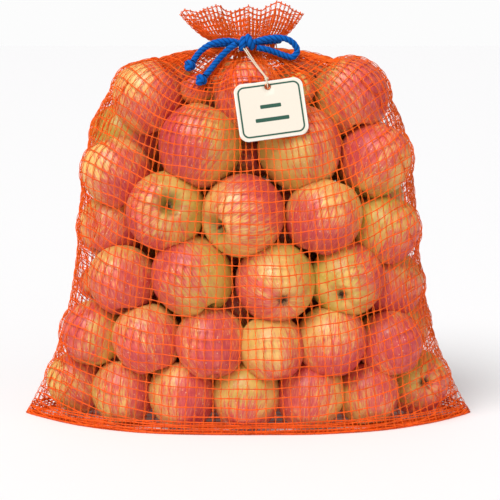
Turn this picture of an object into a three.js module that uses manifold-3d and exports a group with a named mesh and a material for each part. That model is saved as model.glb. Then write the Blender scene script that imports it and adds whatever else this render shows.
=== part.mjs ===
// A ten-kilogram net sack of apples, standing on its flattened base and tied shut at the neck.
// Millimetres, +Z up. The origin is the middle of the base, +X is to the right as the tag is read,
// and the tag and the bow are on the -Y side.
import * as THREE from "three";
import { mergeVertices } from "three/addons/utils/BufferGeometryUtils.js";
import Module from "manifold-3d";

const wasm = await Module();
wasm.setup();

// ---- Driving dimensions ----

// The slack outline of the net at rising heights: half of its width, half of its depth, and the height.
// The first entry is the fold on the floor, with its two pointed corners, and the last one is the neck.
const netOutline = [
  [226, 80, 0],
  [204, 92, 42],
  [185, 98, 91],
  [172, 98, 157],
  [164, 92, 237],
  [150, 76, 301],
  [129, 58, 332],
  [98, 42, 352],
  [67, 28, 363.2],
  [30, 16, 367.5],
];
const net = {
  columns: 88,
  rows: 36,
  passes: 240,
  pull: 0.62, // how far a knot of the net moves towards the middle of its four neighbours in a pass
  clearance: 1.5, // from the skin of an apple to the outside of the net
  halfLayer: 1.8, // half of the doubled net where its front and back meet
  neckShift: -3.4, // the neck is tied a little left of the middle
  shoulderStay: 0.3, // how much of the slack outline the net keeps beside its two side edges
  shoulderReach: 5, // over how many columns that fades
};

// Rows of apples that lean on the front of the net, from the floor up: x, z and width of each, and the
// direction of the stem where the apple shows one of its ends.
const frontRows = [
  [
    [-170, 33, 66], [-122, 32, 66], [-65, 33, 69], [1, 33, 69], [64, 33, 69],
    [116, 33, 64], [166, 38, 68, [-0.15, 0.9, -0.2]],
  ],
  [[-150, 90, 66], [-98, 88, 70], [-32, 88, 71], [22, 84, 66], [76, 88, 71], [132, 80, 68]],
  [
    [-124, 151, 69], [-56, 154, 81], [32, 143, 79, [-0.2, 0.92, 0.33]],
    [108, 144, 75, [0.2, 0.92, 0.3]], [151, 126, 68],
  ],
  [
    [-137, 196, 67], [-84, 216, 79, [0.17, -0.93, 0.33]], [-4, 208, 82, [-0.7, -0.65, -0.27]],
    [77, 205, 77], [136, 190, 70],
  ],
  [[-115, 256, 70], [-40, 280, 82], [48, 270, 83], [122, 262, 75]],
  [[-84, 316, 74], [-8, 324, 70], [93, 319, 77]],
];
// Apples that lean on the back of the net: height of a row, its number of apples, their width,
// and how far from the middle the outer two lie.
const backRows = [
  [34, 5, 70, 128],
  [92, 5, 74, 122],
  [150, 4, 76, 116],
  [208, 4, 76, 116],
  [258, 4, 72, 108],
  [312, 3, 70, 84],
];
const apples = {
  shareOfHeight: 0.88, // height of an apple against its width
  touching: 0.95, // how close two apples press, against the mean of their widths
  ceiling: 320, // no middle of an apple lies higher
  settlePasses: 60,
  sway: 0.35, // how easily an apple at the front gives way sideways
  homing: 0.07, // how strongly it goes back to where it is seen
};

const ruffle = {
  rows: 4,
  tieHeight: 7.5,
  height: 29.5,
  halfWidth: 57,
  halfDepth: 17,
  shift: -2.6, // the mouth leans further left than the neck
  dip: 20, // the mouth is hollow between its folds
  // Folds of the mouth's edge: how far round from its right end, with its left end at 1, how far the
  // net stands out there, and how far it rises. The back comes first, then the front.
  folds: [
    [0, 2, -4.6], [0.12, -4, -4], [0.24, 6, 0.5], [0.36, -5, -5], [0.5, 6, 1], [0.62, -5, -5.2],
    [0.76, 6, -0.5], [0.88, -4, -4.6], [1, 2, -5], [1.07, 4, -0.4], [1.15, -3, -2.6], [1.24, 2, 1],
    [1.33, 7, 3.7], [1.38, -2, -1.4], [1.44, -6, -2.8], [1.5, -1, -0.4], [1.55, 5, 3.2],
    [1.6, -1, 0.3], [1.66, -6, -0.9], [1.7, -1, 2.9], [1.77, 7, 7.3], [1.83, 5, 4.4],
    [1.92, 0, -1.2], [2, 2, -4.6],
  ],
};

// The blue rope: one turn round the neck, a knot in front of it, a bow on the right and two tails on
// the left, each with a knot in its end. Routes run from the knot outwards, along the middle of the rope.
const gap = 0.35; // between pieces that touch
const rope = {
  diameter: 6.2,
  sides: 10,
  turnHeight: 371.2,
  turnTilt: -0.02, // how much higher it lies for each millimetre to the right
  turnSteps: 26,
  bow: [
    [8, -29, 374.6], [17.5, -28.5, 377], [27.8, -28, 378.1], [37.9, -26.5, 376.5], [45, -25, 371.3],
    [47.3, -24.5, 365], [42.9, -26, 359.8], [35.4, -25.6, 361], [26.2, -26.5, 364.3],
    [17, -28.5, 367.2], [8.3, -29, 368.9],
  ],
  bowSteps: 26,
  upperTail: [
    [-10.2, -26.5, 374], [-19.5, -27, 375], [-28.6, -27, 374.1], [-37, -26.6, 371.2],
    [-44.1, -25.6, 366.4], [-49, -26.6, 361.1], [-52.6, -30.7, 355.2],
  ],
  lowerTail: [
    [-11.1, -33.2, 372.3], [-17.8, -32.5, 367.8], [-23.5, -31.4, 362.3], [-29.2, -32.4, 356.3],
    [-34.6, -37.4, 349.5], [-40.8, -43.4, 342],
  ],
  tailSteps: 11,
};
// Each knot is two lumps that have grown into each other: middle, half sizes and lean of a lump.
const bowKnot = [
  { middle: [-5, -29.3, 372.3], halfSize: [4.4, 6.3, 7.6], lean: 14 },
  { middle: [2, -29.3, 374], halfSize: [5.6, 6.3, 7.8], lean: -16 },
];
const upperEndKnot = [
  { middle: [-55.7, -34.8, 351.8], halfSize: [5.2, 5, 6], lean: 35 },
  { middle: [-57.3, -36.1, 349.4], halfSize: [5.6, 4.6, 4.4], lean: -30 },
];
const lowerEndKnot = [
  { middle: [-44.5, -47.1, 338.5], halfSize: [5.6, 5, 6.2], lean: 30 },
  { middle: [-46.3, -48.4, 335.8], halfSize: [5.8, 4.6, 4.4], lean: -25 },
];

// The card, hung by a doubled string through its eyelet. It leans back on the net.
const tag = {
  width: 65,
  height: 55,
  thickness: 1.6,
  cornerRadius: 8,
  hole: [18.4, -67.2, 333],
  holeRadius: 3.4,
  holeBelowEdge: 5.6,
  holeFromLeft: 32.2,
  roll: 8, // degrees, right side up
  lean: 15.5, // degrees, top edge back
};
const eyelet = { outerRadius: 2.9, innerRadius: 1.8, thickness: 2.3 };
const string = {
  diameter: 1.3,
  sides: 8,
  spread: 2.2,
  start: [-3, -35.6, 368],
  knotAboveHole: 8,
  knotRadius: 2.1,
  sag: 0.8,
  steps: 34,
};

// ---- Small helpers ----

// A repeatable sequence of numbers from 0 to 1.
function sequence(seed) {
  let state = seed;
  return () => {
    state = (state * 16807) % 2147483647;
    return state / 2147483647;
  };
}

const outlineCurve = new THREE.CatmullRomCurve3(
  netOutline.map(([halfWidth, halfDepth, height]) => new THREE.Vector3(halfWidth, halfDepth, height)),
  false,
  "centripetal",
);

// Half of the width and of the depth of the slack net at a height.
function outlineAt(height) {
  const steps = 200;
  let best = outlineCurve.getPoint(0);
  for (let i = 1; i <= steps; i++) {
    const here = outlineCurve.getPoint(i / steps);
    if (Math.abs(here.z - height) < Math.abs(best.z - height)) best = here;
  }
  return best;
}

// How deep the slack net is, forwards or back, at a place seen from the front.
function depthAt(x, z) {
  const at = outlineAt(z);
  const across = Math.min(1, Math.abs(x) / Math.min(at.x, 190));
  return at.y * Math.sqrt(1 - across * across);
}

// ---- The apples ----

function layOutApples() {
  const random = sequence(97);
  const list = [];
  const add = (x, y, z, width, held, stem) => {
    const drawn = [random() - 0.5, random() - 0.5, 0.4 + random()];
    list.push({
      centre: new THREE.Vector3(x, y, z),
      radius: width / 2,
      held,
      axis: new THREE.Vector3(...(stem ?? drawn)).normalize(),
    });
  };
  for (const row of frontRows)
    for (const [x, z, width, stem] of row)
      add(x, -Math.max(0, depthAt(x, z) - width / 2 - 2), z, width, true, stem);
  for (const [z, count, width, reach] of backRows)
    for (let i = 0; i < count; i++) {
      const x = -reach + (2 * reach * i) / (count - 1) + 8 * (random() - 0.5);
      const size = width + 8 * (random() - 0.5);
      add(x, Math.max(0, depthAt(x, z) - size / 2 - 2), z + 8 * (random() - 0.5), size, false);
    }
  return list;
}

// Pushes overlapping apples apart. Those at the front stay near the place where they are seen.
function settleApples(list) {
  const homes = list.map((a) => a.centre.clone());
  const between = new THREE.Vector3();
  for (let pass = 0; pass < apples.settlePasses; pass++) {
    for (let i = 0; i < list.length; i++)
      for (let j = i + 1; j < list.length; j++) {
        const a = list[i];
        const b = list[j];
        between.subVectors(b.centre, a.centre);
        between.z /= Math.sqrt(apples.shareOfHeight); // most apples lie flatter than they are wide
        const over = apples.touching * (a.radius + b.radius) - between.length();
        if (over <= 0) continue;
        between.setLength(over / 2);
        moveApple(a, between.clone().negate());
        moveApple(b, between);
      }
    list.forEach((a, i) => keepInside(a, homes[i]));
  }
  return list;
}

function moveApple(apple, step) {
  const give = apple.held ? apples.sway : 1;
  apple.centre.add(new THREE.Vector3(step.x * give, step.y, step.z * give));
}

function keepInside(apple, home) {
  const { centre, radius } = apple;
  if (apple.held) centre.lerp(home, apples.homing);
  centre.z = THREE.MathUtils.clamp(centre.z, radius * apples.shareOfHeight, apples.ceiling);
  const side = Math.min(outlineAt(centre.z).x, 204) - radius;
  centre.x = THREE.MathUtils.clamp(centre.x, -side, side);
  const room = Math.max(0, depthAt(centre.x, centre.z) - radius);
  centre.y = THREE.MathUtils.clamp(centre.y, -room, room);
}

const appleList = settleApples(layOutApples());

// Moves a point that is inside an apple out to its skin and the net's clearance.
function pushOut(point, apple) {
  const away = point.clone().sub(apple.centre);
  const reach = apple.radius + net.clearance;
  if (away.lengthSq() > reach * reach) return;
  const along = away.dot(apple.axis);
  const polar = apple.radius * apples.shareOfHeight + net.clearance;
  const across = Math.sqrt(Math.max(0, away.lengthSq() - along * along));
  const depth = Math.hypot(across / reach, along / polar);
  if (depth < 1 && depth > 0) point.copy(apple.centre).addScaledVector(away, 1 / depth);
}

// ---- The net, pulled tight round the apples ----

// Points at even spacing round one half of a level outline, from its right edge to its left edge.
function evenHalfLoop(at) {
  const steps = 180;
  const pointed = 1 - THREE.MathUtils.smoothstep(at.z, 10, 110);
  const trace = [];
  for (let k = 0; k <= steps; k++) {
    const across = Math.cos((Math.PI * k) / steps);
    const round = Math.sqrt(1 - across * across);
    const corner = 1 - Math.abs(across) ** 3;
    trace.push(new THREE.Vector2(at.x * across, at.y * THREE.MathUtils.lerp(round, corner, pointed)));
  }
  const lengths = [0];
  for (let k = 1; k <= steps; k++) lengths.push(lengths[k - 1] + trace[k].distanceTo(trace[k - 1]));
  const half = net.columns / 2;
  const points = [];
  for (let j = 0, k = 0; j < half; j++) {
    const wanted = (lengths[steps] * j) / half;
    while (lengths[k + 1] < wanted) k++;
    const share = (wanted - lengths[k]) / (lengths[k + 1] - lengths[k]);
    points.push(trace[k].clone().lerp(trace[k + 1], share));
  }
  return points;
}

function slackNet() {
  return outlineCurve.getSpacedPoints(net.rows - 1).map((at) => {
    const shift = net.neckShift * THREE.MathUtils.smoothstep(at.z, 300, 369);
    const back = evenHalfLoop(at);
    const front = back.map((p) => p.clone().negate());
    return [...back, ...front].map((p) => new THREE.Vector3(p.x + shift, p.y, at.z));
  });
}

function tightenNet(grid) {
  const half = net.columns / 2;
  const slack = grid.map((loop) => loop.map((point) => point.clone()));
  const stays = grid.map((loop) => THREE.MathUtils.smoothstep(loop[0].z, 60, 200));
  for (let pass = 0; pass < net.passes; pass++) {
    const before = grid.map((loop) => loop.map((point) => point.clone()));
    for (let i = 1; i < net.rows - 1; i++)
      for (let j = 0; j < net.columns; j++) {
        const point = grid[i][j];
        if (j % half === 0) {
          point.copy(slack[i][j]);
          for (const apple of appleList) pushOut(point, apple);
          continue; // the two side edges otherwise keep the slack outline
        }
        const middle = new THREE.Vector3()
          .add(before[i - 1][j])
          .add(before[i + 1][j])
          .add(before[i][(j + 1) % net.columns])
          .add(before[i][(j + net.columns - 1) % net.columns])
          .multiplyScalar(0.25);
        point.lerp(middle, net.pull);
        const fromEdge = Math.min(j % half, half - (j % half)) / net.shoulderReach;
        point.lerp(slack[i][j], net.shoulderStay * Math.exp(-fromEdge * fromEdge) * stays[i]);
        for (const apple of appleList) pushOut(point, apple);
        const side = j < half ? 1 : -1;
        point.y = side * Math.max(net.halfLayer, side * point.y);
        point.z = Math.max(point.z, 0.6);
      }
  }
  return grid;
}

// How far the mouth's edge stands out and rises, part way round it.
function foldAt(place) {
  const { folds } = ruffle;
  let k = 0;
  while (folds[k + 1][0] < place) k++;
  const [start, outHere, riseHere] = folds[k];
  const [end, outNext, riseNext] = folds[k + 1];
  const share = THREE.MathUtils.smoothstep(place, start, end);
  return [THREE.MathUtils.lerp(outHere, outNext, share), THREE.MathUtils.lerp(riseHere, riseNext, share)];
}

// The pleated mouth above the tie, as loops that widen upwards.
function mouthLoops(neckLoop) {
  const { x: neckHalfWidth, y: neckHalfDepth, z: neckHeight } = outlineCurve.getPoint(1);
  const tieTop = neckHeight + ruffle.tieHeight;
  const loops = [neckLoop.map((p) => p.clone().setZ(tieTop))];
  for (let i = 1; i <= ruffle.rows; i++) {
    const up = i / ruffle.rows;
    const halfWidth = neckHalfWidth + (ruffle.halfWidth - neckHalfWidth) * up ** 0.6;
    const halfDepth = neckHalfDepth + (ruffle.halfDepth - neckHalfDepth) * up;
    const shape = evenHalfLoop(new THREE.Vector3(halfWidth, halfDepth, neckHeight));
    const ring = [...shape, ...shape.map((p) => p.clone().negate())];
    loops.push(ring.map((p, j) => {
      const [out, rise] = foldAt((2 * j) / net.columns);
      const outward = new THREE.Vector2(p.x / halfWidth ** 2, p.y / halfDepth ** 2).normalize();
      p.addScaledVector(outward, out * up);
      const shift = net.neckShift + ruffle.shift * up;
      return new THREE.Vector3(p.x + shift, p.y, tieTop + (ruffle.height + rise) * up);
    }));
  }
  return loops;
}

// One closed surface over loops of equal length, with a flat floor and a hollow mouth.
function sackGeometry() {
  const body = tightenNet(slackNet());
  const loops = [...body, ...mouthLoops(body[net.rows - 1])];
  const columns = net.columns;
  const points = loops.flat();
  const faces = [];
  for (let i = 0; i + 1 < loops.length; i++)
    for (let j = 0; j < columns; j++) {
      const a = i * columns + j;
      const b = i * columns + ((j + 1) % columns);
      faces.push(a, b, b + columns, a, b + columns, a + columns);
    }
  // The floor is closed by strips between each column of the front and its twin at the back.
  for (let j = 0; j < columns / 2; j++) {
    const front = (columns - j) % columns;
    const nextFront = columns - j - 1;
    if (front !== j) faces.push(j, front, nextFront);
    if (nextFront !== j + 1) faces.push(j, nextFront, j + 1);
  }
  const last = (loops.length - 1) * columns;
  const bottomOfMouth = points.push(new THREE.Vector3(
    net.neckShift,
    0,
    points[last].z - ruffle.dip,
  )) - 1;
  for (let j = 0; j < columns; j++) faces.push(last + j, last + ((j + 1) % columns), bottomOfMouth);
  const geometry = new THREE.BufferGeometry().setFromPoints(points);
  geometry.setIndex(faces);
  geometry.computeVertexNormals();
  return geometry;
}

// ---- The rope, the string and the tag ----

const point = ([x, y, z]) => new THREE.Vector3(x, y, z);
const radians = THREE.MathUtils.degToRad;

function roundSection(diameter, sides) {
  const section = new THREE.Shape();
  for (let k = 0; k <= sides; k++) {
    const angle = (2 * Math.PI * k) / sides;
    const x = (diameter / 2) * Math.cos(angle);
    const y = (diameter / 2) * Math.sin(angle);
    if (k === 0) section.moveTo(x, y);
    else section.lineTo(x, y);
  }
  return section;
}

// A tube along a smooth route.
function tube(route, diameter, sides, steps) {
  const extrudePath = new THREE.CatmullRomCurve3(route, false, "centripetal");
  return new THREE.ExtrudeGeometry(roundSection(diameter, sides), { extrudePath, steps });
}

// The turn of rope that closes the neck: an oval ring of round section.
function ropeTurn() {
  const { x: neckHalfWidth, y: neckHalfDepth } = outlineCurve.getPoint(1);
  const radius = rope.diameter / 2;
  const halfWidth = neckHalfWidth + radius + 2 * gap;
  const halfDepth = neckHalfDepth + radius + 2 * gap;
  const points = [];
  const faces = [];
  for (let i = 0; i < rope.turnSteps; i++) {
    const angle = (2 * Math.PI * i) / rope.turnSteps;
    const middle = new THREE.Vector3(halfWidth * Math.cos(angle), halfDepth * Math.sin(angle), 0);
    const outward = new THREE.Vector3(middle.x / halfWidth ** 2, middle.y / halfDepth ** 2, 0).normalize();
    for (let k = 0; k < rope.sides; k++) {
      const turn = (2 * Math.PI * k) / rope.sides;
      const p = middle.clone().addScaledVector(outward, radius * Math.cos(turn));
      p.z = radius * Math.sin(turn) + rope.turnTilt * middle.x;
      points.push(p.add(new THREE.Vector3(net.neckShift, 0, rope.turnHeight)));
      const next = ((i + 1) % rope.turnSteps) * rope.sides;
      const up = (k + 1) % rope.sides;
      const a = i * rope.sides + k;
      const b = i * rope.sides + up;
      faces.push(a, next + k, next + up, a, next + up, b);
    }
  }
  const geometry = new THREE.BufferGeometry().setFromPoints(points);
  geometry.setIndex(faces);
  geometry.computeVertexNormals();
  return geometry;
}

function toSolid(geometry) {
  const bare = geometry.clone();
  bare.deleteAttribute("normal");
  bare.deleteAttribute("uv");
  const merged = mergeVertices(bare, 1e-4);
  return new wasm.Manifold(new wasm.Mesh({
    numProp: 3,
    vertProperties: merged.attributes.position.array,
    triVerts: new Uint32Array(merged.index.array),
  }));
}

function toGeometry(solid) {
  const { vertProperties, triVerts } = solid.getMesh();
  const geometry = new THREE.BufferGeometry();
  geometry.setAttribute("position", new THREE.BufferAttribute(vertProperties, 3));
  geometry.setIndex(new THREE.BufferAttribute(triVerts, 1));
  geometry.computeVertexNormals();
  return geometry;
}

function fused(...geometries) {
  return toGeometry(geometries.map(toSolid).reduce((whole, part) => whole.add(part)));
}

function lump({ middle, halfSize, lean }) {
  const geometry = new THREE.SphereGeometry(1, 14, 9);
  geometry.scale(...halfSize);
  geometry.rotateY(radians(lean));
  geometry.translate(...middle);
  return geometry;
}

const knot = (lumps) => fused(...lumps.map(lump));

// From the tag's own axes (x right, y out of its printed face towards -Y, z up, zero at the hole).
const tagPlace = new THREE.Matrix4()
  .makeTranslation(...tag.hole)
  .multiply(new THREE.Matrix4().makeRotationX(radians(-tag.lean)))
  .multiply(new THREE.Matrix4().makeRotationY(radians(-tag.roll)));

function tagCard() {
  const { width, height, cornerRadius: r } = tag;
  const left = -tag.holeFromLeft;
  const right = left + width;
  const top = tag.holeBelowEdge;
  const bottom = top - height;
  const card = new THREE.Shape();
  card.absarc(right - r, top - r, r, 0, Math.PI / 2);
  card.absarc(left + r, top - r, r, Math.PI / 2, Math.PI);
  card.absarc(left + r, bottom + r, r, Math.PI, 1.5 * Math.PI);
  card.absarc(right - r, bottom + r, r, 1.5 * Math.PI, 2 * Math.PI);
  const hole = new THREE.Path();
  hole.absarc(0, 0, tag.holeRadius, 0, 2 * Math.PI, true);
  card.holes.push(hole);
  const geometry = new THREE.ExtrudeGeometry(card, {
    depth: tag.thickness,
    bevelEnabled: false,
    curveSegments: 6,
  });
  geometry.translate(0, 0, -tag.thickness / 2);
  geometry.rotateX(Math.PI / 2);
  return geometry.applyMatrix4(tagPlace);
}

function eyeletRing() {
  const half = eyelet.thickness / 2;
  const { outerRadius: outer, innerRadius: inner } = eyelet;
  const edge = 0.3;
  const profile = [
    [inner, -half + edge], [inner + edge, -half], [outer - edge, -half], [outer, -half + edge],
    [outer, half - edge], [outer - edge, half], [inner + edge, half], [inner, half - edge],
    [inner, -half + edge],
  ].map(([radius, out]) => new THREE.Vector2(radius, out));
  return new THREE.LatheGeometry(profile, 20).applyMatrix4(tagPlace);
}

// Two legs side by side from the bow knot to a small knot above the tag, and a loop through the eyelet.
function tagString() {
  const onTag = (x, out, up) => new THREE.Vector3(x, -out, up).applyMatrix4(tagPlace);
  const apart = string.spread / 2;
  const leg = (side) => {
    const top = point(string.start).add(new THREE.Vector3(side * apart, 0, 0));
    const bottom = onTag(side * apart * 0.5, -side * 1.2, string.knotAboveHole);
    const halfway = top.clone().lerp(bottom, 0.5).setZ((top.z + bottom.z) / 2 - string.sag);
    return [top, halfway, bottom];
  };
  const loop = [
    onTag(0.55 * -apart, 1.7, string.knotAboveHole - 1.6),
    onTag(0, 2.35, 4.6),
    onTag(0, 2.3, 2.2),
    onTag(0, 1.6, 0.2),
    onTag(0, 0, -0.7),
    onTag(0, -1.6, 0.2),
    onTag(0, -2.3, 2.2),
    onTag(0, -2.35, 4.6),
    onTag(0.55 * apart, -1.7, string.knotAboveHole - 1.6),
  ];
  const bead = new THREE.SphereGeometry(string.knotRadius, 12, 8);
  bead.applyMatrix4(new THREE.Matrix4().makeTranslation(...onTag(0, 0, string.knotAboveHole)));
  const route = [...leg(-1), ...loop, ...leg(1).reverse()];
  return fused(tube(route, string.diameter, string.sides, string.steps), bead);
}

// ---- The whole part ----

function piece(name, geometry, colour, roughness) {
  const material = new THREE.MeshStandardMaterial({ color: colour, roughness, metalness: 0 });
  const mesh = new THREE.Mesh(geometry, material);
  mesh.name = name;
  return mesh;
}

const orange = 0xf0642d;
const blue = 0x0f5fc4;
const cream = 0xf2e8d5;
const ropePiece = (name, geometry) => piece(name, geometry, blue, 0.65);
const ropeTube = (route, steps) => tube(route.map(point), rope.diameter, rope.sides, steps);

const sackOfApples = new THREE.Group();
sackOfApples.add(piece("net_sack", sackGeometry(), orange, 0.7));
sackOfApples.add(ropePiece("neck_turn", ropeTurn()));
sackOfApples.add(ropePiece("bow_knot", knot(bowKnot)));
sackOfApples.add(ropePiece("bow_loop", ropeTube(rope.bow, rope.bowSteps)));
sackOfApples.add(ropePiece("upper_tail", ropeTube(rope.upperTail, rope.tailSteps)));
sackOfApples.add(ropePiece("upper_tail_knot", knot(upperEndKnot)));
sackOfApples.add(ropePiece("lower_tail", ropeTube(rope.lowerTail, rope.tailSteps)));
sackOfApples.add(ropePiece("lower_tail_knot", knot(lowerEndKnot)));
sackOfApples.add(piece("tag_string", tagString(), cream, 0.8));
sackOfApples.add(piece("tag_card", tagCard(), cream, 0.6));
sackOfApples.add(piece("tag_eyelet", eyeletRing(), 0xa65a32, 0.35));

export default sackOfApples;
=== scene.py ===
import math

import bpy
import numpy as np
from mathutils import Matrix, Vector


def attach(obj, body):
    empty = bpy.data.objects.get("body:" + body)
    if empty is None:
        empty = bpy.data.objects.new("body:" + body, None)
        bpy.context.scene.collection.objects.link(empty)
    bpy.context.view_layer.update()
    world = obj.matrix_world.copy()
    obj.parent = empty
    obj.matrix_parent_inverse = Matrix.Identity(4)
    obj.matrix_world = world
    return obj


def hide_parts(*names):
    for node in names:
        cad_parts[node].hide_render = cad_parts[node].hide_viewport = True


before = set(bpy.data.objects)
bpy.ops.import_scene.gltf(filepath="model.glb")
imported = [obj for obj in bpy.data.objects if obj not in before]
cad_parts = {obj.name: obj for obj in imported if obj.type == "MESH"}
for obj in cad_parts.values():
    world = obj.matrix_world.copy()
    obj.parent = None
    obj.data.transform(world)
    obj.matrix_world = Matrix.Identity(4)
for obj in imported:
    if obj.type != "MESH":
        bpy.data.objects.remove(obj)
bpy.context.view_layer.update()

# The net sack of apples, dressed: net, apples, rope and tag. Work is in millimetres up to addPiece.
scene = bpy.context.scene
toMetres = 0.001


# Camera and studio

view = {"aim": (0.002, 0.0, 0.168), "elevation": 9.0, "distance": 1.4, "lens": 100.8}
studio = {
    "ambient": 0.27,
    "background": 0.975,
    "keyStrength": 2.9, "keyAngle": 36.0, "keyFrom": (-0.42, -0.6, 1.0),
    "fillStrength": 0.4, "fillAngle": 70.0, "fillFrom": (0.9, -1.0, 0.5),
    "floorColour": (0.93, 0.925, 0.93), "floorGlow": 0.055, "floorSize": 60.0,
}


def addCamera():
    aim = Vector(view["aim"])
    tilt = math.radians(view["elevation"])
    camera = bpy.data.objects.new("camera", bpy.data.cameras.new("camera"))
    camera.location = aim + Vector((0, -math.cos(tilt), math.sin(tilt))) * view["distance"]
    camera.rotation_euler = (aim - camera.location).to_track_quat("-Z", "Y").to_euler()
    camera.data.lens = view["lens"]
    camera.data.sensor_width = 36
    scene.collection.objects.link(camera)
    scene.camera = camera


def addSun(name, strength, angle, fromWhere):
    sun = bpy.data.objects.new(name, bpy.data.lights.new(name, "SUN"))
    sun.data.energy = strength
    sun.data.angle = math.radians(angle)
    sun.rotation_euler = Vector(fromWhere).to_track_quat("Z", "Y").to_euler()
    scene.collection.objects.link(sun)


def addStudio():
    scene.view_settings.view_transform = "Standard"
    world = bpy.data.worlds.new("studio")
    scene.world = world
    world.use_nodes = True
    tree = world.node_tree
    surface = tree.nodes["Background"]
    path = tree.nodes.new("ShaderNodeLightPath")
    strength = tree.nodes.new("ShaderNodeMapRange")
    strength.inputs["To Min"].default_value = studio["ambient"]
    strength.inputs["To Max"].default_value = studio["background"]
    tree.links.new(path.outputs["Is Camera Ray"], strength.inputs["Value"])
    tree.links.new(strength.outputs["Result"], surface.inputs["Strength"])
    surface.inputs["Color"].default_value = (1, 1, 1, 1)
    addSun("keyLight", studio["keyStrength"], studio["keyAngle"], studio["keyFrom"])
    addSun("fillLight", studio["fillStrength"], studio["fillAngle"], studio["fillFrom"])
    bpy.ops.mesh.primitive_plane_add(size=studio["floorSize"])
    floor = bpy.context.object
    floor.name = "floor"
    paint = bpy.data.materials.new("paleFloor")
    paint.use_nodes = True
    shader = paint.node_tree.nodes["Principled BSDF"]
    shader.inputs["Base Color"].default_value = (*studio["floorColour"], 1)
    shader.inputs["Roughness"].default_value = 0.7
    shader.inputs["Emission Color"].default_value = (1, 1, 1, 1)
    shader.inputs["Emission Strength"].default_value = studio["floorGlow"]
    floor.data.materials.append(paint)


addCamera()
addStudio()
print("camera and studio ready")


# Node helpers

def tone(red, green, blue):
    # a colour as it looks on screen, 0 to 255, made linear
    return tuple(
        c / 3294.6 if c <= 10.3 else ((c / 255 + 0.055) / 1.055) ** 2.4
        for c in (red, green, blue)
    ) + (1.0,)


def put(tree, kind, inputs=None, **settings):
    # adds a shader node; an input is either a value or another node's output
    node = tree.nodes.new("ShaderNode" + kind)
    for name, value in settings.items():
        setattr(node, name, value)
    for socket, value in (inputs or {}).items():
        if isinstance(value, bpy.types.NodeSocket):
            tree.links.new(value, node.inputs[socket])
        else:
            node.inputs[socket].default_value = value
    return node


def attribute(tree, name, output="Vector"):
    return put(tree, "Attribute", attribute_name=name).outputs[output]


def maths(tree, operation, *values):
    return put(tree, "Math", dict(enumerate(values)), operation=operation).outputs[0]


def vectorMaths(tree, operation, *values):
    node = put(tree, "VectorMath", dict(enumerate(values)), operation=operation)
    return node.outputs["Value" if operation in ("LENGTH", "DOT_PRODUCT") else "Vector"]


def mixColours(tree, share, first, second, blend="MIX"):
    node = put(tree, "Mix", data_type="RGBA", blend_type=blend)
    for index, value in ((0, share), (6, first), (7, second)):
        if isinstance(value, bpy.types.NodeSocket):
            tree.links.new(value, node.inputs[index])
        else:
            node.inputs[index].default_value = value
    return node.outputs[2]


def ramp(tree, value, low, high, start=0.0, end=1.0):
    inputs = {"Value": value, "From Min": low, "From Max": high, "To Min": start, "To Max": end}
    return put(tree, "MapRange", inputs, interpolation_type="SMOOTHSTEP").outputs[0]


def noise(tree, vector, scale, detail=2.0, roughness=0.5):
    inputs = {"Vector": vector, "Scale": scale, "Detail": detail, "Roughness": roughness}
    return put(tree, "TexNoise", inputs).outputs["Fac"]


def newMaterial(name, roughness):
    material = bpy.data.materials.new(name)
    material.use_nodes = True
    tree = material.node_tree
    shader = tree.nodes["Principled BSDF"]
    shader.inputs["Roughness"].default_value = roughness
    return material, tree, shader


def bumpInto(tree, shader, height, distance, strength=1.0):
    bump = put(tree, "Bump", {"Height": height, "Distance": distance, "Strength": strength})
    tree.links.new(bump.outputs["Normal"], shader.inputs["Normal"])


def unevenGroup():
    # lighter and darker patches on any surface, and a height for its bump
    group = bpy.data.node_groups.new("unevenTone", "ShaderNodeTree")
    face = group.interface
    face.new_socket("Colour", in_out="INPUT", socket_type="NodeSocketColor")
    face.new_socket("Place", in_out="INPUT", socket_type="NodeSocketVector")
    for name, start in (("Scale", 5.0), ("Amount", 0.3)):
        face.new_socket(name, in_out="INPUT", socket_type="NodeSocketFloat").default_value = start
    face.new_socket("Colour", in_out="OUTPUT", socket_type="NodeSocketColor")
    face.new_socket("Height", in_out="OUTPUT", socket_type="NodeSocketFloat")
    entry = group.nodes.new("NodeGroupInput")
    leave = group.nodes.new("NodeGroupOutput")
    grain = noise(group, entry.outputs["Place"], entry.outputs["Scale"], 3.0, 0.6)
    spread = maths(group, "MULTIPLY", maths(group, "SUBTRACT", grain, 0.5), entry.outputs["Amount"])
    gain = maths(group, "ADD", maths(group, "MULTIPLY", spread, 4.0), 1.0)
    scaled = vectorMaths(group, "SCALE", entry.outputs["Colour"])
    group.links.new(gain, scaled.node.inputs["Scale"])
    group.links.new(scaled, leave.inputs["Colour"])
    group.links.new(grain, leave.inputs["Height"])
    return group


unevenTone = unevenGroup()


def uneven(tree, colour, place, scale, amount):
    node = put(tree, "Group", node_tree=unevenTone)
    for name, value in (("Colour", colour), ("Place", place), ("Scale", scale), ("Amount", amount)):
        if isinstance(value, bpy.types.NodeSocket):
            tree.links.new(value, node.inputs[name])
        else:
            node.inputs[name].default_value = value
    return node.outputs["Colour"], node.outputs["Height"]


# Materials

skinLook = {
    "cream": tone(240, 196, 112), "yellowGreen": tone(200, 182, 76),
    "pink": tone(228, 98, 88), "deepPink": tone(194, 36, 72),
    # the cavity colour is greenish skin round the stem, darkened with painted shade; the colour after it is
    # painted shade deep in the stem cavity
    "cavity": tone(158, 142, 62), "cavityShade": tone(64, 52, 24),
    "calyx": tone(52, 38, 24), "dots": tone(246, 214, 176),
}


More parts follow.
